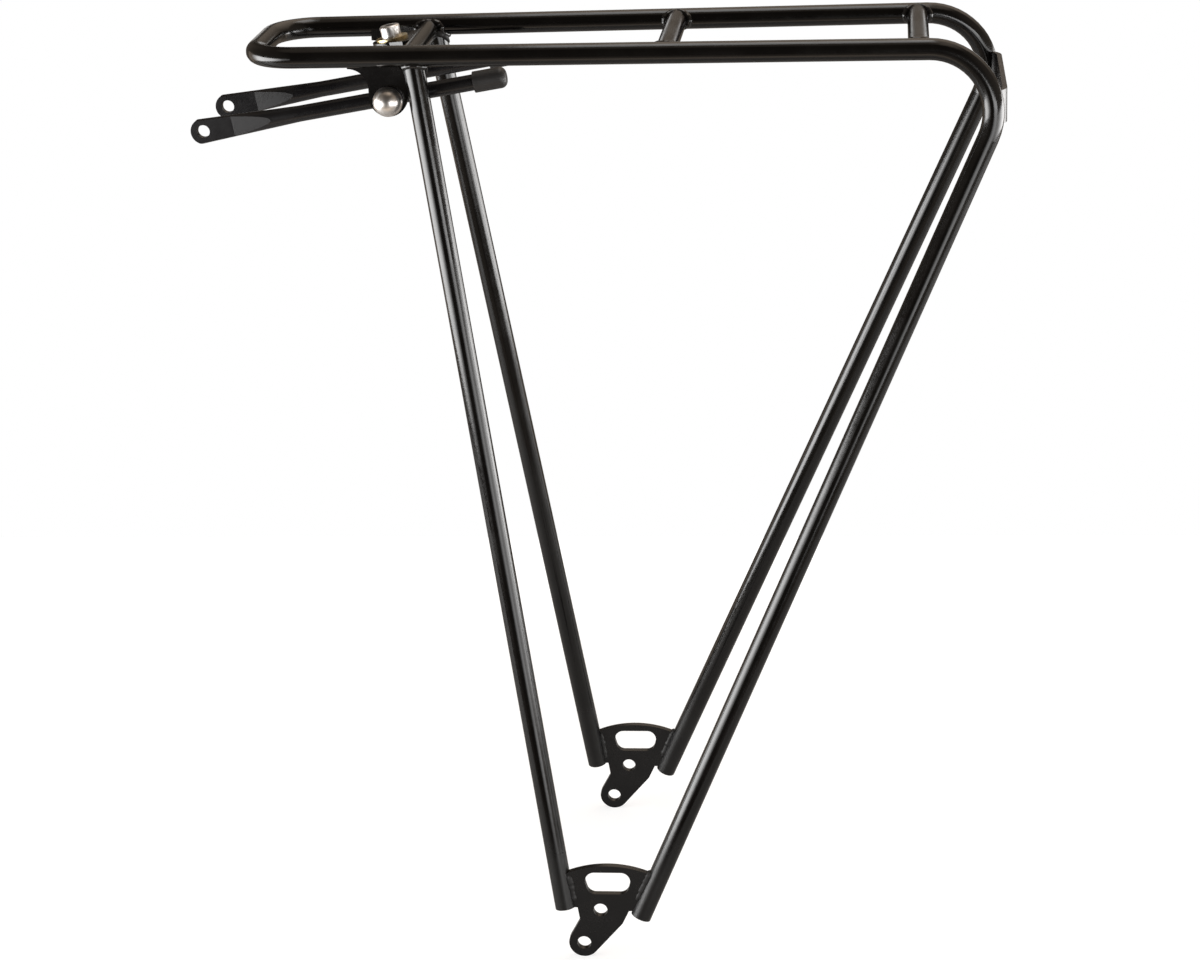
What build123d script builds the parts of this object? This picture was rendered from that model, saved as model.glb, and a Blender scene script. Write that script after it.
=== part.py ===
from build123d import *
import math
import os

# Slim rear rack for a bicycle, in millimetres.
# One bent steel tube makes both rear legs, both rails and the front loop. Two front struts,
# three cross tubes, two foot plates and the small brackets are welded to it. Two stay rods
# reach forward to the seat stays: each slides in a cross-drilled stud that turns in its tab.
# +X points to the rear of the bicycle, +Y to its right and +Z up. The origin lies on the
# bicycle's middle plane, midway between the two lower foot holes.

# ---- frame tubes ----
tube_od = 9.0
tube_wall = 1.0
tube_cap_thickness = 1.0
rail_height = 389.0          # rail centreline above the lower foot holes
loop_front_x = -130.0        # centreline of the front loop's straight stretch
loop_front_half_width = 33.2     # rails' half spacing, extended to the loop's front line
loop_corner_radius = 19.0
rear_corner_x = 191.9        # where the rail and leg centrelines would meet
rear_corner_half_width = 40.5
rear_bend_radius = 26.0
strut_top_x = -61.2          # front strut centreline where it meets the rail's
strut_top_inset = 2.0        # there it runs this much inboard of the rail's
strut_top_drop = 3.0         # the strut's coped end is cut square this far below it
cross_tube_od = 8.8
cross_tube_x = {"front": -63.4, "middle": 44.5, "rear": 148.0}
front_cross_tube_drop = 1.7  # the front cross tube sits this much below the rails' centreline

# ---- feet ----
foot_spacing = 150.0         # between the middle planes of the two foot plates
foot_join_height = 18.0      # height where struts and legs cross the plates' middle planes
strut_join_x = -7.9
leg_join_x = 27.8
strut_end_height = 16.8
leg_end_height = 12.8
foot_plate_thickness = 3.0
foot_hole_diameter = 6.2
foot_eye_radius = 6.7
hook_rear_slope = 48.5       # degrees; the hook's edges run from the eye up to the web
hook_rear_edge = 18.6
hook_front_slope = 61.0
hook_front_edge = 9.2
web_strut_inset = 5.6        # from the strut's centreline back to the web's lower front corner
web_leg_inset = 7.4          # from the leg's centreline forward to its lower rear corner
web_front_rise = 0.6         # web's lower edge above the strut's end
web_rear_rise = 3.0          # and above the leg's end
upper_hole_x = 7.8
upper_hole_height = 16.2
slot_centre_x = 11.4
slot_centre_height = 29.2
slot_height = 10.5
slot_top_width = 22.4
slot_bottom_width = 17.0
slot_corner_radius = 4.2
plate_top_height = 37.6
plate_top_radius = 47.0

# ---- clamps ----
clamp_x = -72.3
clamp_drop = 19.2            # bolt axis below the rail centreline
tab_thickness = 2.5
tab_inset = 3.5              # tab's middle plane, inward of the rail's centreline
tab_end_radius = 8.1
tab_end_rise = 1.4           # centre of the tab's round end above the clamp's axis
tab_flare_radius = 8.5
tab_flare_lip = 1.0          # straight edge between the flare and the rail's underside
shank_diameter = 6.0
running_clearance = 0.05     # radial, on every shaft that turns or slides
stud_diameter = 11.0
stud_inner_web = 3.0         # metal left beyond the rod's bore at the stud's inner end
collar_diameter = 14.0
collar_lip = 0.5             # web between the rod's bore and the stud's shoulder
collar_inner_end = 0.6       # from the rod's centreline, so that the groove straddles the rod
washer_diameter = 11.6
washer_thickness = 0.8
dome_diameter = 12.5
dome_skirt = 1.6
dome_height = 6.6

# ---- stay rods ----
rod_diameter = 6.8
rod_inset = 9.9              # from the rail's centreline at the clamp inward to the rod's
rod_slope = 9.2              # degrees, rear end up
rod_eye_reach = 82.2         # from the clamp's axis forward to the eye hole
rod_tail_reach = 47.9        # from the clamp's axis back to the rod's rear end
rod_eye_hole_diameter = 5.5
rod_eye_radius = 5.5
blade_thickness = 3.0
blade_length = 13.0          # flat stretch behind the eye hole
blade_run_out = 17.0         # over which the blade grows to the rod's full thickness
rod_round_start = 40.0       # forward of the clamp's axis, where the round section ends
cap_diameter = 9.0
cap_length = 14.0
cap_end_thickness = 2.0
cap_end_round = 2.8

# ---- mudguard tab and its screw ----
guard_tab_thickness = 2.0
guard_tab_width = 17.0
guard_tab_root_width = 24.0
guard_tab_reach = 10.6       # from the front cross tube's centreline to the screw
guard_tab_lift = 4.3         # top face above that centreline, square to the tab
guard_tab_slope = 10.0       # degrees, front end down
guard_screw_diameter = 5.0
guard_screw_clearance = 0.25
guard_screw_length = 12.0
guard_screw_head_diameter = 8.5
guard_screw_head_height = 5.0
guard_screw_head_chamfer = 0.5
guard_screw_socket_flats = 4.0
guard_screw_socket_depth = 2.5
guard_washer_diameter = 13.6
guard_washer_thickness = 1.0
guard_nut_flats = 8.0
guard_nut_height = 4.0

# ---- rear light plate ----
light_plate_setback = 8.0    # rear face, forward of the corner between rail and leg
light_plate_thickness = 2.0
light_plate_overhang = 2.5   # its ends' outer faces, outboard of that corner
light_plate_drop = 24.4      # middle of its height, below the rail's centreline
light_plate_height = 14.0
light_plate_bend_radius = 10.0
light_hole_spacing = 50.0
light_hole_diameter = 5.5

SIDES = {"left": -1, "right": 1}

tube_radius = tube_od / 2
bore_radius = tube_radius - tube_wall
clamp_height = rail_height - clamp_drop


def rail_half_spacing(x):
    """Distance from the middle plane to a rail's centreline at x; the rails spread rearward."""
    share = (x - loop_front_x) / (rear_corner_x - loop_front_x)
    return loop_front_half_width + share * (rear_corner_half_width - loop_front_half_width)


def point_at_height(top, join, height):
    """Point at a height on the straight line through two points."""
    share = (height - top.Z) / (join.Z - top.Z)
    return top + (join - top) * share


def rail_corner(side, x):
    return Vector(x, side * rail_half_spacing(x), rail_height)


def leg_point(side, height):
    join = Vector(leg_join_x, side * foot_spacing / 2, foot_join_height)
    return point_at_height(rail_corner(side, rear_corner_x), join, height)


def strut_point(side, height):
    inboard = Vector(0, -side * strut_top_inset, 0)
    join = Vector(strut_join_x, side * foot_spacing / 2, foot_join_height)
    return point_at_height(rail_corner(side, strut_top_x) + inboard, join, height)


def rod(start, end, radius):
    """Round bar between two points."""
    path = Line(start, end)
    return Solid.make_cylinder(radius, (end - start).length, Plane(start, z_dir=path % 0))


def main_tube_path():
    points = [leg_point(-1, leg_end_height), rail_corner(-1, rear_corner_x),
              rail_corner(-1, loop_front_x), rail_corner(1, loop_front_x),
              rail_corner(1, rear_corner_x), leg_point(1, leg_end_height)]
    radii = [rear_bend_radius, loop_corner_radius, loop_corner_radius, rear_bend_radius]
    return FilletPolyline(*points, radius=radii)


def swept_round(path, radius):
    section = Plane(path @ 0, z_dir=path % 0) * Circle(radius)
    return sweep(section, path=path)


def make_main_tube():
    path = main_tube_path()
    return swept_round(path, tube_radius) - swept_round(path, bore_radius)


def rail_bar(side):
    """The rail's outer cylinder, used to cope what is welded to it."""
    return rod(rail_corner(side, loop_front_x), rail_corner(side, rear_corner_x), tube_radius)


def rear_bend_bar(side):
    """The outer surface of the rear bend with a length of rail and leg at its ends."""
    path = FilletPolyline(rail_corner(side, cross_tube_x["rear"]),
                          rail_corner(side, rear_corner_x),
                          leg_point(side, rail_height - 3 * rear_bend_radius),
                          radius=rear_bend_radius)
    return swept_round(path, tube_radius)


def leg_bar(side):
    return rod(leg_point(side, leg_end_height), leg_point(side, rail_height), tube_radius)


def strut_bar(side, radius):
    top = strut_point(side, rail_height - strut_top_drop)
    return rod(strut_point(side, strut_end_height), top, radius)


def make_front_strut(side):
    """Tube from the rail's underside to the foot, its top end coped to the rail."""
    tube = strut_bar(side, tube_radius) - strut_bar(side, bore_radius)
    tube = tube - rail_bar(side) - cross_bar("front", cross_tube_od / 2)
    return max(tube.solids(), key=lambda solid: solid.volume)


def cross_tube_height(place):
    return rail_height - front_cross_tube_drop if place == "front" else rail_height


def cross_bar(place, radius):
    x = cross_tube_x[place]
    half = rail_half_spacing(x)
    height = cross_tube_height(place)
    return rod(Vector(x, -half, height), Vector(x, half, height), radius)


def make_cross_tube(place):
    """Tube between the rails, both ends coped."""
    radius = cross_tube_od / 2
    tube = cross_bar(place, radius) - cross_bar(place, radius - tube_wall)
    tube = tube - rail_bar(-1) - rail_bar(1)
    return max(tube.solids(), key=lambda solid: solid.volume)


def make_tube_caps():
    """Welded discs that close the four lower tube ends."""
    caps = []
    for side in SIDES.values():
        for line, height in ((strut_point, strut_end_height), (leg_point, leg_end_height)):
            start = line(side, height)
            up = (line(side, rail_height) - start).normalized()
            caps.append(rod(start, start + up * tube_cap_thickness, bore_radius))
    return Compound(caps)


def slot_outline():
    """Rounded slot in the foot plate, wider at its top."""
    top = slot_centre_height + slot_height / 2
    bottom = slot_centre_height - slot_height / 2
    corners = [(slot_centre_x - slot_top_width / 2, top), (slot_centre_x + slot_top_width / 2, top),
               (slot_centre_x + slot_bottom_width / 2, bottom),
               (slot_centre_x - slot_bottom_width / 2, bottom)]
    face = Polygon(*corners, align=None)
    return fillet(face.vertices(), slot_corner_radius)


def foot_plate_outline():
    """Web between strut and leg, with a hook below it that carries the lower hole."""
    strut_top = strut_point(1, plate_top_height).X
    leg_top = leg_point(1, plate_top_height).X
    front_low = strut_end_height + web_front_rise
    rear_low = leg_end_height + web_rear_rise
    # the hook's edges leave the round eye as tangents
    rear_way = Vector(1, 0).rotate(Axis.Z, hook_rear_slope)
    front_way = Vector(1, 0).rotate(Axis.Z, hook_front_slope)
    rear_foot = rear_way.rotate(Axis.Z, -90) * foot_eye_radius
    front_foot = front_way.rotate(Axis.Z, 90) * foot_eye_radius
    rear_head = rear_foot + rear_way * hook_rear_edge
    front_head = front_foot + front_way * hook_front_edge
    corners = [(strut_top, plate_top_height), (leg_top, plate_top_height),
               (leg_point(1, rear_low).X, rear_low), (leg_join_x - web_leg_inset, rear_low),
               (rear_head.X, rear_head.Y), (rear_foot.X, rear_foot.Y), (0, 0),
               (front_foot.X, front_foot.Y), (front_head.X, front_head.Y),
               (strut_join_x + web_strut_inset, front_low),
               (strut_point(1, front_low).X, front_low)]
    crown = Pos(slot_centre_x, plate_top_height - plate_top_radius) * Circle(plate_top_radius)
    return (Polygon(*corners, align=None) & crown) + Circle(foot_eye_radius)


def make_foot_plate(side):
    """Flat plate welded between the lower ends of strut and leg."""
    outline = foot_plate_outline() - slot_outline() - Circle(foot_hole_diameter / 2)
    outline -= Pos(upper_hole_x, upper_hole_height) * Circle(foot_hole_diameter / 2)
    upright = Plane((0, side * foot_spacing / 2, 0), x_dir=(1, 0, 0), z_dir=(0, -1, 0))
    plate = extrude(upright * outline, amount=foot_plate_thickness / 2, both=True)
    plate = plate - strut_bar(side, tube_radius) - leg_bar(side)
    return max(plate.solids(), key=lambda solid: solid.volume)


def tab_plane(side):
    y = side * (rail_half_spacing(clamp_x) - tab_inset)
    return Plane((clamp_x, y, clamp_height), x_dir=(1, 0, 0), z_dir=(0, -1, 0))


def make_clamp_tab(side):
    """Plate that hangs from the rail, flared where it meets it, with the stud's bearing hole."""
    half = tab_end_radius
    tip = -half - tab_flare_radius
    flare_start = clamp_drop - tube_radius - tab_flare_lip - tab_flare_radius
    body = Polygon((-half, tab_end_rise), (half, tab_end_rise), (half, clamp_drop),
                   (-half, clamp_drop), align=None)
    body += Pos(0, tab_end_rise) * Circle(half)
    flare = Polygon((-half, flare_start), (-half, clamp_drop), (tip, clamp_drop),
                    (tip, flare_start), align=None)
    flare -= Pos(tip, flare_start) * Circle(tab_flare_radius)
    outline = body + flare - Circle(shank_diameter / 2 + running_clearance)
    tab = extrude(tab_plane(side) * outline, amount=tab_thickness / 2, both=True)
    tab = tab - rail_bar(side) - strut_bar(side, tube_radius)
    tab = tab - cross_bar("front", cross_tube_od / 2)
    return min(tab.solids(), key=lambda solid: solid.center().Z)


def rod_frame(side):
    """Local frame of a stay rod: x along it to the rear, y to the right, z up across it."""
    y = side * (rail_half_spacing(clamp_x) - rod_inset)
    slope = math.radians(rod_slope)
    return Plane((clamp_x, y, clamp_height), x_dir=(math.cos(slope), 0, math.sin(slope)),
                 z_dir=(-math.sin(slope), 0, math.cos(slope)))


def outward_cylinder(side, radius, inner, outer):
    """Cylinder on the clamp's axis between two distances outboard of the rod's centreline."""
    y = side * (rail_half_spacing(clamp_x) - rod_inset)
    start = Vector(clamp_x, y + side * inner, clamp_height)
    end = Vector(clamp_x, y + side * outer, clamp_height)
    return rod(start, end, radius)


def rod_bore(side):
    frame = rod_frame(side)
    reach = collar_diameter
    return rod(frame.from_local_coords(Vector(-reach, 0, 0)),
               frame.from_local_coords(Vector(reach, 0, 0)), rod_diameter / 2 + running_clearance)


tab_inner = rod_inset - tab_inset - tab_thickness / 2
tab_outer = tab_inner + tab_thickness
stud_outer = rod_diameter / 2 + collar_lip


def make_clamp_stud(side):
    """Stud drilled across for the rod, its shank passing out through collar and tab."""
    body = outward_cylinder(side, stud_diameter / 2, -rod_diameter / 2 - stud_inner_web, stud_outer)
    shank = outward_cylinder(side, shank_diameter / 2, stud_outer,
                             tab_outer + washer_thickness + dome_height / 2)
    return body + shank - rod_bore(side)


def make_clamp_collar(side):
    """Collar between stud and tab; its grooved inner end presses on the rod."""
    collar = outward_cylinder(side, collar_diameter / 2, collar_inner_end, tab_inner)
    collar -= outward_cylinder(side, stud_diameter / 2 + running_clearance, 0,
                               stud_outer + running_clearance)
    collar -= outward_cylinder(side, shank_diameter / 2 + running_clearance, 0, tab_inner)
    return collar - rod_bore(side)


def make_clamp_washer(side):
    washer = outward_cylinder(side, washer_diameter / 2, tab_outer, tab_outer + washer_thickness)
    return washer - outward_cylinder(side, shank_diameter / 2 + running_clearance, tab_outer,
                                     tab_outer + washer_thickness)


def make_dome_nut(side):
    """Blind nut with a smooth domed outside."""
    radius = dome_diameter / 2
    crown = dome_height - dome_skirt
    dome_radius = (radius ** 2 + crown ** 2) / (2 * crown)
    base = tab_outer + washer_thickness
    nut = outward_cylinder(side, radius, base, base + dome_height)
    y = side * (rail_half_spacing(clamp_x) - rod_inset + base + dome_height - dome_radius)
    nut = nut & (Pos(clamp_x, y, clamp_height) * Sphere(dome_radius))
    return nut - outward_cylinder(side, shank_diameter / 2, base, base + dome_height / 2)


def blade_thickness_profile():
    """Plan outline of the rod's front: a flat blade whose faces run out to the round rod."""
    radius = rod_diameter / 2
    thin = blade_thickness / 2
    tip = -rod_eye_reach - rod_eye_radius
    flat_end = -rod_eye_reach + blade_length
    wide = thin + (radius - thin) * (-rod_round_start - flat_end) / blade_run_out
    return Polygon((tip, thin), (flat_end, thin), (-rod_round_start, wide),
                   (-rod_round_start, -wide), (flat_end, -thin), (tip, -thin), align=None)


def make_stay_rod(side):
    """Round rod whose front end is flattened into an upright blade with an eye hole."""
    radius = rod_diameter / 2
    tip = -rod_eye_reach - rod_eye_radius
    across = Plane((-rod_round_start, 0, 0), x_dir=(0, 0, 1), z_dir=(-1, 0, 0))
    blank = loft([across * Circle(radius),
                  across.offset(-rod_round_start - tip) * Ellipse(rod_eye_radius, radius)])
    blank = blank & extrude(blade_thickness_profile(), amount=2 * rod_eye_radius, both=True)
    upright = Plane((-rod_eye_reach, 0, 0), x_dir=(1, 0, 0), z_dir=(0, -1, 0))
    outline = Circle(rod_eye_radius) + Pos(rod_eye_reach / 2, 0) * Rectangle(rod_eye_reach,
                                                                             3 * rod_eye_radius)
    blank = blank & extrude(upright * outline, amount=rod_diameter, both=True)
    blank -= extrude(upright * Circle(rod_eye_hole_diameter / 2), amount=rod_diameter, both=True)
    shaft = rod(Vector(-rod_round_start, 0, 0), Vector(rod_tail_reach, 0, 0), radius)
    return rod_frame(side).location * (shaft + blank)


def make_rod_cap(side):
    """Moulded cap pushed over the rod's rear end."""
    end = rod_tail_reach + cap_end_thickness
    cap = rod(Vector(end - cap_length, 0, 0), Vector(end, 0, 0), cap_diameter / 2)
    rear_edge = cap.edges().filter_by(GeomType.CIRCLE).sort_by(Axis.X)[-1]
    cap = fillet(rear_edge, cap_end_round)
    cap -= rod(Vector(end - cap_length, 0, 0), Vector(rod_tail_reach, 0, 0), rod_diameter / 2)
    return rod_frame(side).location * cap


def guard_plane():
    """Frame on the mudguard tab's top face, above the front cross tube's centreline."""
    slope = math.radians(guard_tab_slope)
    along = Vector(math.cos(slope), 0, math.sin(slope))
    across = Vector(-math.sin(slope), 0, math.cos(slope))
    centre = Vector(cross_tube_x["front"], 0, cross_tube_height("front"))
    return Plane(centre + across * guard_tab_lift, x_dir=along, z_dir=across)


def make_guard_tab():
    """Tongue on the front cross tube for the mudguard's screw."""
    tip = guard_tab_width / 2
    root = guard_tab_root_width / 2
    edge = cross_tube_od / 2
    sides = Polyline((-guard_tab_reach, tip), (-edge, root), (0, root), (0, -root),
                     (-edge, -root), (-guard_tab_reach, -tip))
    nose = ThreePointArc((-guard_tab_reach, -tip), (-guard_tab_reach - tip, 0),
                         (-guard_tab_reach, tip))
    outline = make_face([*sides.edges(), nose])
    outline -= Pos(-guard_tab_reach, 0) * Circle(guard_screw_diameter / 2 + guard_screw_clearance)
    tab = extrude(guard_plane() * outline, amount=-guard_tab_thickness)
    tab = tab - cross_bar("front", cross_tube_od / 2)
    return min(tab.solids(), key=lambda solid: solid.center().X)


def guard_screw_plane(height):
    """Plane square to the mudguard screw at a height above the tab's top face."""
    plane = guard_plane()
    foot = plane.from_local_coords(Vector(-guard_tab_reach, 0, height))
    return Plane(foot, x_dir=plane.x_dir, z_dir=plane.z_dir)


def guard_disc(radius, low, high):
    return Solid.make_cylinder(radius, high - low, guard_screw_plane(low))


def guard_hexagon(flats, low, high):
    outline = guard_screw_plane(low) * RegularPolygon(flats / 2, 6, major_radius=False)
    return extrude(outline, amount=high - low)


def make_guard_screw():
    """Socket head screw through washer, tab and nut."""
    low = guard_washer_thickness
    high = low + guard_screw_head_height
    head = guard_disc(guard_screw_head_diameter / 2, low, high)
    rim = head.edges().filter_by(GeomType.CIRCLE).sort_by(Axis.Z)[-1]
    head = chamfer(rim, guard_screw_head_chamfer)
    head -= guard_hexagon(guard_screw_socket_flats, high - guard_screw_socket_depth, high)
    return head + guard_disc(guard_screw_diameter / 2, low - guard_screw_length, low)


def make_guard_washer():
    washer = guard_disc(guard_washer_diameter / 2, 0, guard_washer_thickness)
    return washer - guard_disc(guard_screw_diameter / 2 + guard_screw_clearance, 0,
                               guard_washer_thickness)


def make_guard_nut():
    top = -guard_tab_thickness
    nut = guard_hexagon(guard_nut_flats, top - guard_nut_height, top)
    return nut - guard_disc(guard_screw_diameter / 2, top - guard_nut_height, top)


def make_light_plate():
    """Bracket between the rear bends, its ends turned forward and welded to the tubes."""
    rear = rear_corner_x - light_plate_setback
    half = rear_corner_half_width + light_plate_overhang
    centre_height = rail_height - light_plate_drop
    reach = 2 * tube_od
    channel = Pos(rear - reach / 2, 0) * Rectangle(reach, 2 * half)
    rear_corners = channel.vertices().group_by(Axis.X)[-1]
    channel = fillet(rear_corners, light_plate_bend_radius)
    inside = Pos(rear - light_plate_thickness - reach / 2, 0) * Rectangle(
        reach, 2 * (half - light_plate_thickness))
    inner_corners = inside.vertices().group_by(Axis.X)[-1]
    inside = fillet(inner_corners, light_plate_bend_radius - light_plate_thickness)
    low = centre_height - light_plate_height / 2
    plate = extrude(Plane((0, 0, low)) * (channel - inside), amount=light_plate_height)
    for side in SIDES.values():
        y = side * light_hole_spacing / 2
        plate -= rod(Vector(rear - 2 * light_plate_thickness, y, centre_height),
                     Vector(rear + light_plate_thickness, y, centre_height),
                     light_hole_diameter / 2)
        plate -= rear_bend_bar(side)
    return max(plate.solids(), key=lambda solid: solid.volume)


def build_parts():
    parts = {"main_tube": make_main_tube(), "tube_end_caps": make_tube_caps()}
    for place in cross_tube_x:
        parts[f"cross_tube_{place}"] = make_cross_tube(place)
    for name, side in SIDES.items():
        parts[f"front_strut_{name}"] = make_front_strut(side)
        parts[f"foot_plate_{name}"] = make_foot_plate(side)
        parts[f"clamp_tab_{name}"] = make_clamp_tab(side)
        parts[f"clamp_stud_{name}"] = make_clamp_stud(side)
        parts[f"clamp_collar_{name}"] = make_clamp_collar(side)
        parts[f"clamp_washer_{name}"] = make_clamp_washer(side)
        parts[f"dome_nut_{name}"] = make_dome_nut(side)
        parts[f"stay_rod_{name}"] = make_stay_rod(side)
        parts[f"rod_cap_{name}"] = make_rod_cap(side)
    parts["guard_tab"] = make_guard_tab()
    parts["guard_screw"] = make_guard_screw()
    parts["guard_washer"] = make_guard_washer()
    parts["guard_nut"] = make_guard_nut()
    parts["light_plate"] = make_light_plate()
    return parts


os.makedirs("parts", exist_ok=True)
for node, shape in build_parts().items():
    export_step(shape, f"parts/{node}.step")
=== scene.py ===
import math
import random

import bpy
from mathutils import Matrix, Vector


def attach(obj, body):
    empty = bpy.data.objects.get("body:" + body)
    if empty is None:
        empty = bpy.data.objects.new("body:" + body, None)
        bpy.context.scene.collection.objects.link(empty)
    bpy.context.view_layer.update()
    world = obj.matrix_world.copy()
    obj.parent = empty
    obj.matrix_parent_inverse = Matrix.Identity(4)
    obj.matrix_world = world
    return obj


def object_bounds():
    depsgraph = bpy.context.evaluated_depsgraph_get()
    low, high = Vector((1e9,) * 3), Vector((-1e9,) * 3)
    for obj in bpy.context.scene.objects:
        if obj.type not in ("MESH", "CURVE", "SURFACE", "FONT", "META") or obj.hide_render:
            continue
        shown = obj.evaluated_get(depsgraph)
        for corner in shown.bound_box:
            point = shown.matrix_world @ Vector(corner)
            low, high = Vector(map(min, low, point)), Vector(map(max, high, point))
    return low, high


# Slim rear rack for a bicycle: the finish of every CAD piece, the weld beads that join the
# tubes and brackets, and a plain studio round it. Metres, +X to the rear of the bicycle,
# +Y to its right and +Z up.

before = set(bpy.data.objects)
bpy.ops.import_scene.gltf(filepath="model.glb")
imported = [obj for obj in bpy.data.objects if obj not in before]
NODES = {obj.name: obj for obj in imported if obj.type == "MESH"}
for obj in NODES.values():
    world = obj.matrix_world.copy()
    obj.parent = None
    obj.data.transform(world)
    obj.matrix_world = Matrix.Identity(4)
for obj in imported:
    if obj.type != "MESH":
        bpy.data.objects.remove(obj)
cad_low, cad_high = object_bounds()
SIDES = {"left": -1, "right": 1}
MM = 0.001


# ---------------------------------------------------------------- shader helpers

NOISE_ROUGHNESS = 0.55
NOISE_LOW, NOISE_HIGH = 0.35, 0.65          # the part of a noise's range that counts
SPECK_SCALE = 900.0
SPECK_SHARE = 0.3
GRAIN_TO_WAVE = 5                           # how much finer the grain is than the waves
DULLEST_BELOW, DULL_BELOW = 34 * MM, 60 * MM   # heights on the tubes
DULL_BY = 0.20                              # roughness added to the paint at the feet


def feed(tree, value, socket):
    """Links a node's output to a socket, or gives the socket a plain number or colour."""
    if isinstance(value, bpy.types.NodeSocket):
        tree.links.new(value, socket)
    else:
        socket.default_value = value


def new_group(name, inputs, outputs):
    """Shader node group; inputs and outputs give each socket's kind by its name."""
    group = bpy.data.node_groups.new(name, "ShaderNodeTree")
    for direction, sockets in (("INPUT", inputs), ("OUTPUT", outputs)):
        for label, kind in sockets.items():
            group.interface.new_socket(label, in_out=direction, socket_type=kind)
    return group, group.nodes.new("NodeGroupInput"), group.nodes.new("NodeGroupOutput")


def noise_node(tree, vector, scale, detail):
    node = tree.nodes.new("ShaderNodeTexNoise")
    feed(tree, vector, node.inputs["Vector"])
    feed(tree, scale, node.inputs["Scale"])
    feed(tree, detail, node.inputs["Detail"])
    feed(tree, NOISE_ROUGHNESS, node.inputs["Roughness"])
    return node.outputs["Fac"]


def ramp_node(tree, value, start, end):
    """Smooth step between two (value, level) points, flat beyond them."""
    node = tree.nodes.new("ShaderNodeMapRange")
    node.interpolation_type = "SMOOTHSTEP"
    for label, number in zip(("From Min", "To Min", "From Max", "To Max"), (*start, *end)):
        feed(tree, number, node.inputs[label])
    feed(tree, value, node.inputs["Value"])
    return node.outputs["Result"]


def colour_mix(tree, share, first, second):
    """Mix node; its colour sockets are the ones numbered 6, 7 and 2."""
    node = tree.nodes.new("ShaderNodeMix")
    node.data_type = "RGBA"
    feed(tree, share, node.inputs[0])
    feed(tree, first, node.inputs[6])
    feed(tree, second, node.inputs[7])
    return node.outputs[2]


def math_node(tree, operation, first, second):
    node = tree.nodes.new("ShaderNodeMath")
    node.operation = operation
    feed(tree, first, node.inputs[0])
    feed(tree, second, node.inputs[1])
    return node.outputs[0]


def make_tone_drift():
    """Colour and roughness that wander slowly over a coating, with fine specks in it."""
    group, entry, out = new_group(
        "tone_drift",
        {"Vector": "NodeSocketVector", "Scale": "NodeSocketFloat",
         "Colour": "NodeSocketColor", "Other Colour": "NodeSocketColor",
         "Smoothest": "NodeSocketFloat", "Roughest": "NodeSocketFloat"},
        {"Colour": "NodeSocketColor", "Roughness": "NodeSocketFloat"})
    given = entry.outputs
    slow = noise_node(group, given["Vector"], given["Scale"], detail=4.0)
    share = ramp_node(group, slow, (NOISE_LOW, 0.0), (NOISE_HIGH, 1.0))
    colour = colour_mix(group, share, given["Colour"], given["Other Colour"])
    feed(group, colour, out.inputs["Colour"])
    specks = noise_node(group, given["Vector"], SPECK_SCALE, detail=2.0)
    both = math_node(group, "ADD", math_node(group, "MULTIPLY", slow, 1 - SPECK_SHARE),
                     math_node(group, "MULTIPLY", specks, SPECK_SHARE))
    roughness = ramp_node(group, both, (NOISE_LOW, given["Smoothest"]),
                          (NOISE_HIGH, given["Roughest"]))
    feed(group, roughness, out.inputs["Roughness"])
    return group


def make_skin_bump():
    """Normal of a sprayed or moulded skin: shallow waves with a finer grain on them."""
    group, entry, out = new_group(
        "skin_bump",
        {"Vector": "NodeSocketVector", "Wave Scale": "NodeSocketFloat",
         "Grain Scale": "NodeSocketFloat", "Grain Share": "NodeSocketFloat",
         "Depth": "NodeSocketFloat"},
        {"Normal": "NodeSocketVector"})
    given = entry.outputs
    wave = noise_node(group, given["Vector"], given["Wave Scale"], detail=1.0)
    grain = noise_node(group, given["Vector"], given["Grain Scale"], detail=2.0)
    height = math_node(group, "ADD", wave,
                       math_node(group, "MULTIPLY", grain, given["Grain Share"]))
    bump = group.nodes.new("ShaderNodeBump")
    feed(group, 1.0, bump.inputs["Strength"])
    feed(group, height, bump.inputs["Height"])
    feed(group, given["Depth"], bump.inputs["Distance"])
    feed(group, bump.outputs["Normal"], out.inputs["Normal"])
    return group


tone_drift = make_tone_drift()
skin_bump = make_skin_bump()


def use_group(tree, group, place, **values):
    node = tree.nodes.new("ShaderNodeGroup")
    node.node_tree = group
    feed(tree, place, node.inputs["Vector"])
    for label, value in values.items():
        feed(tree, value, node.inputs[label.replace("_", " ")])
    return node.outputs


def coated(name, colour, other, roughness, wave_scale, depth, grain_share=0.2,
           drift_scale=60.0, slot=None):
    """A sprayed, dipped or moulded skin. It drifts between two colours and between the two
    values of roughness; depth is that of its relief, in metres. Its slot is its name unless
    slot says another."""
    material = bpy.data.materials.new(name)
    material.use_nodes = True
    material["rack_slot"] = slot or name
    tree = material.node_tree
    shader = tree.nodes["Principled BSDF"]
    place = tree.nodes.new("ShaderNodeTexCoord").outputs["Object"]
    tone = use_group(tree, tone_drift, place, Scale=drift_scale, Colour=(*colour, 1),
                     Other_Colour=(*other, 1), Smoothest=roughness[0],
                     Roughest=roughness[1])
    skin = use_group(tree, skin_bump, place, Wave_Scale=wave_scale,
                     Grain_Scale=wave_scale * GRAIN_TO_WAVE, Grain_Share=grain_share,
                     Depth=depth)
    feed(tree, tone["Colour"], shader.inputs["Base Color"])
    feed(tree, tone["Roughness"], shader.inputs["Roughness"])
    feed(tree, skin["Normal"], shader.inputs["Normal"])
    return material


def plated(name, **finish):
    """Bare or plated metal, with a finer drift than a coating's."""
    material = coated(name, drift_scale=150.0, **finish)
    feed(material.node_tree, 1.0,
         material.node_tree.nodes["Principled BSDF"].inputs["Metallic"])
    return material


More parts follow.
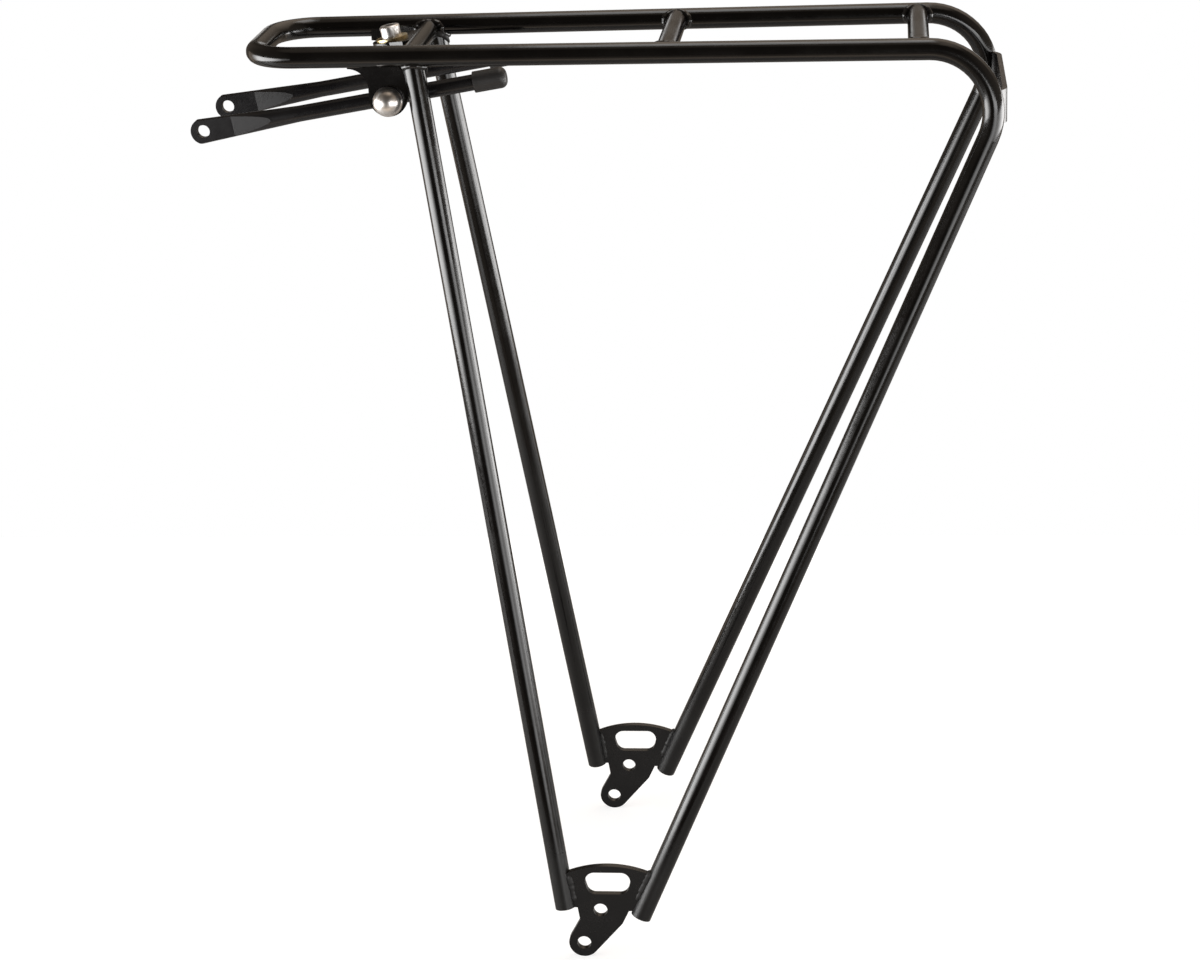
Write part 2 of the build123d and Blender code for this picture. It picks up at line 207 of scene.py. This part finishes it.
def dull_towards_feet(material):
    """Makes the paint duller on the low ends of the tubes."""
    tree = material.node_tree
    socket = tree.nodes["Principled BSDF"].inputs["Roughness"]
    roughness = socket.links[0].from_socket
    split = tree.nodes.new("ShaderNodeSeparateXYZ")
    feed(tree, tree.nodes["Texture Coordinate"].outputs["Object"], split.inputs["Vector"])
    dull = ramp_node(tree, split.outputs["Z"], (DULLEST_BELOW, DULL_BY), (DULL_BELOW, 0.0))
    feed(tree, math_node(tree, "ADD", roughness, dull), socket)


# ---------------------------------------------------------------- finishes

gloss_paint = coated(
    "gloss_black_paint", colour=(0.0022, 0.0020, 0.0019), other=(0.0032, 0.0028, 0.0025),
    roughness=(0.12, 0.20), wave_scale=450.0, depth=0.012 * MM)
dull_towards_feet(gloss_paint)
satin_paint = coated(
    "satin_black_paint", colour=(0.0028, 0.0026, 0.0028), other=(0.0042, 0.0038, 0.0038),
    roughness=(0.20, 0.29), wave_scale=600.0, depth=0.018 * MM)
rod_coat = coated(
    "black_coated_steel", colour=(0.0034, 0.0033, 0.0042), other=(0.0056, 0.0053, 0.0062),
    roughness=(0.24, 0.34), wave_scale=700.0, depth=0.015 * MM)
cap_plastic = coated(
    "black_plastic", colour=(0.0130, 0.0120, 0.0118), other=(0.0190, 0.0178, 0.0172),
    roughness=(0.46, 0.58), wave_scale=1500.0, depth=0.030 * MM, grain_share=0.5)
polished_steel = plated(
    "polished_steel", colour=(0.70, 0.67, 0.64), other=(0.78, 0.75, 0.72),
    roughness=(0.28, 0.36), wave_scale=900.0, depth=0.004 * MM)
# Weld beads in a lighter copy of the gloss black paint: the lighter colour is a painted
# sheen.
weld_bead_paint_with_painted_sheen = coated(
    "weld_black_paint", colour=(0.0060, 0.0056, 0.0054), other=(0.0105, 0.0098, 0.0094),
    roughness=(0.11, 0.19), wave_scale=900.0, depth=0.010 * MM, grain_share=0.3,
    slot="gloss_black_paint")
# Beads at the feet and over the strut tops in a lighter copy of the satin black paint: the
# lighter colour is a painted sheen.
dull_weld_paint = coated(
    "dull_weld_paint", colour=(0.0060, 0.0056, 0.0054), other=(0.0105, 0.0098, 0.0094),
    roughness=(0.52, 0.64), wave_scale=900.0, depth=0.010 * MM, grain_share=0.4,
    slot="satin_black_paint")
yellow_zinc = plated(
    "yellow_zinc", colour=(0.66, 0.52, 0.26), other=(0.78, 0.70, 0.50),
    roughness=(0.24, 0.38), wave_scale=900.0, depth=0.010 * MM)
bright_zinc = plated(
    "bright_zinc", colour=(0.60, 0.58, 0.56), other=(0.74, 0.72, 0.70),
    roughness=(0.30, 0.42), wave_scale=1200.0, depth=0.008 * MM)

FINISHES = {
    gloss_paint: ["main_tube", "tube_end_caps", "cross_tube_front", "cross_tube_middle",
                  "cross_tube_rear", "front_strut_left", "front_strut_right"],
    satin_paint: ["foot_plate_left", "foot_plate_right", "clamp_tab_left",
                  "clamp_tab_right", "guard_tab", "light_plate"],
    rod_coat: ["stay_rod_left", "stay_rod_right", "clamp_stud_left", "clamp_stud_right",
               "clamp_collar_left", "clamp_collar_right"],
    cap_plastic: ["rod_cap_left", "rod_cap_right"],
    polished_steel: ["dome_nut_left", "dome_nut_right", "clamp_washer_left",
                     "clamp_washer_right"],
    yellow_zinc: ["guard_washer"],
    bright_zinc: ["guard_screw", "guard_nut"],
}
for finish, names in FINISHES.items():
    for name in names:
        for slot in NODES[name].material_slots:
            slot.material = finish


# ---------------------------------------------------------------- where the tubes meet

TUBE_RADIUS = 4.5 * MM
CROSS_TUBE_RADIUS = 4.4 * MM
RAIL_HEIGHT = 389.0 * MM
LOOP_FRONT = (-130.0 * MM, 33.2 * MM)       # x and half spacing of the rails at the front
REAR_CORNER = (191.9 * MM, 40.5 * MM)       # and where they would meet the legs
CROSS_TUBES = {                             # x, and the seam's height from the rail's
    "front": (-63.4 * MM, -0.8 * MM),
    "middle": (44.5 * MM, 0.0),
    "rear": (148.0 * MM, 0.0),
}
STRUT_TOP_X = -61.2 * MM
STRUT_TOP_INSET = 2.0 * MM
STRUT_FOOT_X = -7.9 * MM
LEG_FOOT_X = 27.8 * MM
FOOT_HALF_SPACING = 75.0 * MM
FOOT_JOIN_HEIGHT = 18.0 * MM
PLATE_HALF_THICKNESS = 1.5 * MM
CLAMP_X = -72.3 * MM


def rail_point(side, x):
    """Point on a rail's centre line; side is -1 for the left rail and 1 for the right."""
    share = (x - LOOP_FRONT[0]) / (REAR_CORNER[0] - LOOP_FRONT[0])
    half = LOOP_FRONT[1] + share * (REAR_CORNER[1] - LOOP_FRONT[1])
    return Vector((x, side * half, RAIL_HEIGHT))


def line_point(high, low, height):
    """Point at a height on the line through two points."""
    return low + (high - low) * ((height - low.z) / (high.z - low.z))


def strut_line(side):
    """Top and lower end of a strut's centre line."""
    top = rail_point(side, STRUT_TOP_X) - Vector((0, side * STRUT_TOP_INSET, 0))
    return top, Vector((STRUT_FOOT_X, side * FOOT_HALF_SPACING, FOOT_JOIN_HEIGHT))


def leg_line(side):
    """Top and lower end of a leg's centre line, the top where it would cross the rail's."""
    return (rail_point(side, REAR_CORNER[0]),
            Vector((LEG_FOOT_X, side * FOOT_HALF_SPACING, FOOT_JOIN_HEIGHT)))


# ---------------------------------------------------------------- weld beads

RIPPLES = ((0.045, 7.3), (0.05, 12.7), (0.04, 21.0))   # share of the bead, points per wave
RIPPLE_SHIFT = 6                            # most radians that a ripple is shifted by
TAPER_POWER = 8                             # the higher, the nearer its ends a bead thins
RING_POINTS = 96
BEAD_STEP = 0.35 * MM                       # between the points of a straight bead
MERGE_WITHIN = 0.05 * MM
HAIR = 0.01 * MM                            # keeps the two end points of an arch
CROSS_TUBE_RUN_IN = 12 * MM                 # how far back along its tube a ring starts
STRUT_RUN_IN = 14 * MM
STRUT_RING_SHIFT = (0.4 * MM, 1.0 * MM)     # to the rear and outwards
ARCH_HEIGHT = 381.4 * MM
FOOT_BEAD_OFFSET = 4.5 * MM                 # from the tube's centre towards the plate
FOOT_BEAD_HEIGHTS = (18.5 * MM, 33.0 * MM)
FOOT_BEAD_SUNK = 1.05 * MM                  # under the plate's face
TAB_BEAD_RUN = (-15.5 * MM, 6.0 * MM)       # its ends, from the clamp's x
TAB_BEAD_INSET = 1.9 * MM                   # from the rail's centre
TAB_BEAD_DROP = 4.1 * MM
chance = random.Random(7)


def lay_bead(name, radius, thinner=0.0, taper=0.0, paint=weld_bead_paint_with_painted_sheen):
    """Turns the active string of points into a rippled bead that rides on the frame. It
    loses the share thinner in the middle of the string's width, and taper at its ends."""
    bpy.ops.object.convert(target="CURVE")
    line = bpy.context.object
    line.data.bevel_depth = radius
    line.data.bevel_resolution = 3
    line.data.use_fill_caps = True
    points = line.data.splines[0].points
    widest = max(abs(point.co.x) for point in points)
    ripples = [(share, math.tau / step, chance.uniform(0, RIPPLE_SHIFT))
               for share, step in RIPPLES]
    for count, point in enumerate(points):
        across = abs(point.co.x) / widest
        swell = 1.0 + sum(share * math.sin(count * turn + start)
                          for share, turn, start in ripples)
        ends = 1.0 - taper * across ** TAPER_POWER
        point.radius = swell * ends * (1.0 - thinner * (1.0 - across))
    bpy.ops.object.convert(target="MESH")
    bpy.ops.object.transform_apply(location=True, rotation=True, scale=True)
    bpy.ops.object.mode_set(mode="EDIT")
    bpy.ops.mesh.select_all(action="SELECT")
    bpy.ops.mesh.normals_make_consistent(inside=False)
    bpy.ops.object.mode_set(mode="OBJECT")
    bpy.ops.object.shade_smooth()
    bead = bpy.context.object
    bead.name = name
    bead.data.materials.clear()
    bead.data.materials.append(paint)
    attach(bead, "frame")


def stretched_circle(centre, turn, radius, stretch):
    """Circle of points, stretched along its own x and y, as the active object."""
    bpy.ops.object.select_all(action="DESELECT")
    bpy.ops.mesh.primitive_circle_add(vertices=RING_POINTS, radius=radius, location=centre,
                                      rotation=turn)
    circle = bpy.context.object
    circle.scale = (*stretch, 1)
    bpy.ops.object.transform_apply(location=False, rotation=False, scale=True)
    return circle


def seam_ring(name, place, along, half_width, half_height, radius, thinner=0.0):
    """Bead round a tube's end, laid on the main tube that it runs into."""
    rearward = Vector((1, 0, 0))
    level = (rearward - along * rearward.dot(along)).normalized()
    turn = Matrix((level, along.cross(level), along)).transposed()
    ring = stretched_circle(place, turn.to_euler(), half_height,
                            (half_width / half_height, 1))
    bpy.ops.object.modifier_add(type="SHRINKWRAP")
    wrap = ring.modifiers[-1]
    wrap.target = NODES["main_tube"]
    wrap.wrap_method = "PROJECT"
    wrap.use_project_z = True
    wrap.use_positive_direction = True
    bpy.ops.object.modifier_apply(modifier=wrap.name)
    lay_bead(name, radius, thinner=thinner)


def arch_bead(name, centre, side, reach, rise, radius):
    """Bead over the inboard half of a strut's top, highest in the middle."""
    slope = math.atan2(rise, reach)
    arch = stretched_circle(centre, (-side * slope, 0, 0), reach, (1, 1 / math.cos(slope)))
    bpy.ops.object.mode_set(mode="EDIT")
    bpy.ops.mesh.select_all(action="DESELECT")
    bpy.ops.object.mode_set(mode="OBJECT")
    for vertex in arch.data.vertices:
        vertex.select = vertex.co.y * side > HAIR
    bpy.ops.object.mode_set(mode="EDIT")
    bpy.ops.mesh.delete(type="VERT")
    bpy.ops.object.mode_set(mode="OBJECT")
    lay_bead(name, radius, taper=0.6, paint=dull_weld_paint)


def straight_bead(name, start, end, radius, paint=weld_bead_paint_with_painted_sheen):
    """Bead along a corner, thin at both ends."""
    run = end - start
    bpy.ops.object.select_all(action="DESELECT")
    bpy.ops.mesh.primitive_grid_add(x_subdivisions=max(8, round(run.length / BEAD_STEP)),
                                    y_subdivisions=1, size=1.0)
    bpy.ops.object.mode_set(mode="EDIT")
    bpy.ops.mesh.select_all(action="SELECT")
    bpy.ops.mesh.delete(type="ONLY_FACE")
    bpy.ops.mesh.select_all(action="SELECT")
    bpy.ops.transform.resize(value=(run.length, 0, 1))
    bpy.ops.mesh.remove_doubles(threshold=MERGE_WITHIN)
    bpy.ops.object.mode_set(mode="OBJECT")
    line = bpy.context.object
    line.location = (start + end) / 2
    line.rotation_euler = run.to_track_quat("X", "Z").to_euler()
    lay_bead(name, radius, taper=0.75, paint=paint)


def weld_cross_tubes(side_name, side):
    """Bead round each cross tube's end, thinner above and below."""
    for place, (x, rise) in CROSS_TUBES.items():
        start = rail_point(side, x) - Vector((0, side * CROSS_TUBE_RUN_IN, -rise))
        seam_ring(f"weld_cross_tube_{place}_{side_name}", start, Vector((0, side, 0)),
                  half_width=CROSS_TUBE_RADIUS + 0.9 * MM,
                  half_height=CROSS_TUBE_RADIUS - 0.6 * MM + rise,
                  radius=1.55 * MM, thinner=0.45)


def weld_strut(side_name, side):
    """Beads under a strut's top and over its inboard half."""
    top, foot = strut_line(side)
    upward = (top - foot).normalized()
    rearward, outward = STRUT_RING_SHIFT
    start = top - upward * STRUT_RUN_IN + Vector((rearward, side * outward, 0))
    seam_ring(f"weld_strut_top_{side_name}", start, upward,
              half_width=TUBE_RADIUS - 0.2 * MM, half_height=TUBE_RADIUS - 1.0 * MM,
              radius=1.3 * MM)
    arch_bead(f"weld_strut_inboard_{side_name}", line_point(top, foot, ARCH_HEIGHT), side,
              reach=TUBE_RADIUS + 0.1 * MM, rise=4.6 * MM, radius=1.3 * MM)


def weld_feet(side_name, side):
    """Beads between the foot plate and both tubes, on its outer and inner face."""
    for tube, line, inward in (("strut", strut_line(side), 1), ("leg", leg_line(side), -1)):
        slope = (line[0] - line[1]).normalized()
        into_plate = inward * Vector((slope.z, 0, -slope.x)).normalized()
        for face_name, face in (("outer", 1), ("inner", -1)):
            ends = []
            for height in FOOT_BEAD_HEIGHTS:
                spot = line_point(*line, height) + into_plate * FOOT_BEAD_OFFSET
                spot.y = side * (FOOT_HALF_SPACING
                                 + face * (PLATE_HALF_THICKNESS - FOOT_BEAD_SUNK))
                ends.append(spot)
            straight_bead(f"weld_{tube}_{face_name}_{side_name}", *ends, radius=1.7 * MM,
                          paint=dull_weld_paint)


def weld_clamp_tab(side_name, side):
    """Bead between the rail and the tab that hangs from it."""
    ends = [rail_point(side, CLAMP_X + run)
            - Vector((0, side * TAB_BEAD_INSET, TAB_BEAD_DROP)) for run in TAB_BEAD_RUN]
    straight_bead(f"weld_clamp_tab_{side_name}", *ends, radius=0.85 * MM)


for side_name, side in SIDES.items():
    weld_cross_tubes(side_name, side)
    weld_strut(side_name, side)
    weld_feet(side_name, side)
    weld_clamp_tab(side_name, side)


# ---------------------------------------------------------------- floor and light

FLOOR_MIDDLE = (0.09, 0.09)
FLOOR_SIZE = (1.62, 0.72)
WHITE = (1, 1, 1, 1)
WARM = (1.0, 0.83, 0.67, 1)


def make_floor(low):
    """Pale table top under the feet; the camera sees it as white, and a little more so at
    its far end, where the lamps fall off."""
    bpy.ops.object.select_all(action="DESELECT")
    bpy.ops.mesh.primitive_plane_add(size=1.0, location=(*FLOOR_MIDDLE, low))
    floor = bpy.context.object
    floor.name = "floor"
    floor.scale = (*FLOOR_SIZE, 1.0)
    bpy.ops.object.transform_apply(location=True, rotation=True, scale=True)
    material = bpy.data.materials.new("pale_table")
    material.use_nodes = True
    tree = material.node_tree
    shader = tree.nodes["Principled BSDF"]
    feed(tree, (0.38, 0.38, 0.38, 1), shader.inputs["Base Color"])
    feed(tree, 0.6, shader.inputs["Roughness"])
    feed(tree, 0.2, shader.inputs["Specular IOR Level"])
    feed(tree, WHITE, shader.inputs["Emission Color"])
    away = tree.nodes.new("ShaderNodeVectorMath")
    away.operation = "LENGTH"
    feed(tree, tree.nodes.new("ShaderNodeTexCoord").outputs["Object"], away.inputs[0])
    glow = ramp_node(tree, away.outputs["Value"], (0.15, 0.70), (0.60, 1.0))
    rays = tree.nodes.new("ShaderNodeLightPath")
    feed(tree, math_node(tree, "MULTIPLY", rays.outputs["Is Camera Ray"], glow),
         shader.inputs["Emission Strength"])
    floor.data.materials.append(material)


def make_world():
    """White to the camera. What the object mirrors is a dim warm room with white paper low
    down behind the table, paler walls at its sides and a pale ground under it. Each ramp
    follows one component of the direction, from -1 to 1: across to the camera's right, back
    away from it, or up."""
    world = bpy.data.worlds.new("studio")
    world.use_nodes = True
    tree = world.node_tree
    background = tree.nodes["Background"]
    split = tree.nodes.new("ShaderNodeSeparateXYZ")
    feed(tree, tree.nodes.new("ShaderNodeTexCoord").outputs["Generated"], split.inputs[0])
    across, back, up = split.outputs

    def patch(*shares):
        total = shares[0]
        for share in shares[1:]:
            total = math_node(tree, "MULTIPLY", total, share)
        return total

    low = ramp_node(tree, up, (0.05, 1.0), (0.14, 0.0))
    room = ramp_node(tree, up, (-0.60, 0.30), (-0.25, 0.06))
    left_side = ramp_node(tree, across, (-0.60, 0.15), (-0.10, 0.0))
    right_side = ramp_node(tree, across, (0.20, 0.0), (0.85, 0.26))
    walls = patch(ramp_node(tree, back, (0.15, 0.0), (0.35, 0.70)),
                  ramp_node(tree, back, (0.60, 1.0), (0.70, 0.0)), low)
    paper = patch(ramp_node(tree, back, (0.93, 0.0), (0.97, 1.0)), low,
                  ramp_node(tree, up, (-0.09, 0.0), (-0.04, 1.0)))
    ground = ramp_node(tree, up, (-0.70, 0.95), (-0.64, 0.0))
    ceiling = patch(ramp_node(tree, up, (0.80, 0.0), (0.96, 1.0)),
                    ramp_node(tree, across, (0.0, 0.35), (0.25, 1.0)))
    rear_wall = patch(ramp_node(tree, up, (0.10, 0.16), (0.85, 1.3)),
                      ramp_node(tree, across, (-0.24, 0.0), (-0.10, 1.0)),
                      ramp_node(tree, back, (0.10, 0.0), (0.40, 1.0)))
    for share in (left_side, right_side, walls, paper, ground, ceiling, rear_wall):
        room = math_node(tree, "MAXIMUM", room, share)
    seen = tree.nodes.new("ShaderNodeLightPath").outputs["Is Camera Ray"]
    feed(tree, math_node(tree, "MAXIMUM", room, seen), background.inputs["Strength"])
    feed(tree, colour_mix(tree, math_node(tree, "MAXIMUM", paper, seen), WARM, WHITE),
         background.inputs["Color"])
    bpy.context.scene.world = world


def fade_across(lamp, stops):
    """Makes a lamp's strength follow (share of its width, level) stops, from its left."""
    lamp.data.use_nodes = True
    tree = lamp.data.node_tree
    surface = tree.nodes.new("ShaderNodeNewGeometry")
    split = tree.nodes.new("ShaderNodeSeparateXYZ")
    feed(tree, surface.outputs["Parametric"], split.inputs["Vector"])
    ramp = tree.nodes.new("ShaderNodeValToRGB")
    for _ in stops[2:]:
        ramp.color_ramp.elements.new(0.5)
    for element, (share, level) in zip(ramp.color_ramp.elements, stops):
        element.position = share
        element.color = (level, level, level, 1)
    feed(tree, split.outputs["X"], ramp.inputs["Fac"])
    feed(tree, ramp.outputs["Color"], tree.nodes["Emission"].inputs["Strength"])


def soft_box(name, place, target, width, height, radiance, fade=(), tilt=0.0):
    """Rectangular lamp facing a point, turned by tilt degrees in its own plane."""
    bpy.ops.object.light_add(type="AREA", location=place)
    lamp = bpy.context.object
    lamp.name = name
    lamp.data.shape = "RECTANGLE"
    lamp.data.size = width
    lamp.data.size_y = height
    lamp.data.energy = radiance * math.pi * width * height
    facing = (Vector(target) - Vector(place)).to_track_quat("-Z", "Y")
    lamp.rotation_euler = facing.to_euler()
    lamp.rotation_euler.rotate_axis("Z", math.radians(tilt))
    lamp.visible_camera = False
    if fade:
        fade_across(lamp, fade)


make_floor(cad_low.z)
make_world()
soft_box("left_box", (-0.70, -0.64, 0.205), target=(0, -0.64, 0.205),
         width=1.68, height=0.33, radiance=11.5, tilt=-3.0,
         fade=[(0.0, 0.10), (0.045, 0.22), (0.09, 0.62), (0.14, 0.95), (0.33, 1.0),
               (0.43, 0.86), (0.53, 0.60), (0.65, 0.32), (0.77, 0.17), (1.0, 0.08)])
soft_box("right_box", (1.00, 0.15, 0.18), target=(0, 0.15, 0.18),
         width=2.40, height=0.35, radiance=11.2, tilt=2.5,
         fade=[(0.0, 0.24), (0.19, 0.30), (0.29, 0.54), (0.42, 0.96), (0.54, 1.0),
               (0.64, 0.70), (0.75, 0.40), (0.86, 0.27), (1.0, 0.18)])
soft_box("front_box", (0.62, -1.10, 0.17), target=(0.62, 0.0, 0.17),
         width=0.80, height=0.62, radiance=4.0,
         fade=[(0.0, 0.1), (0.15, 0.45), (0.38, 0.9), (0.5, 1.0), (1.0, 0.85)])
soft_box("front_top_box", (0.70, -1.10, 0.425), target=(0.70, 0.0, 0.425),
         width=0.76, height=0.14, radiance=6.0)
soft_box("top_box", (0.045, 0.20, 1.40), target=(0.045, 0.20, 0.39),
         width=0.42, height=0.60, radiance=2.5)


# ---------------------------------------------------------------- camera

CAMERA_PLACE = (0.138091, -1.227714, 0.625401)
CAMERA_TURN = (70.567, 2.11478, 5.35487)    # degrees
SENSOR_WIDTH, LENS = 36.0, 88.1723          # millimetres


def make_camera():
    bpy.ops.object.camera_add(location=CAMERA_PLACE)
    camera = bpy.context.object
    camera.name = "camera"
    camera.rotation_euler = [math.radians(turn) for turn in CAMERA_TURN]
    camera.data.sensor_width = SENSOR_WIDTH
    camera.data.lens = LENS
    bpy.context.scene.camera = camera


make_camera()
bpy.context.scene.view_settings.view_transform = "Standard"
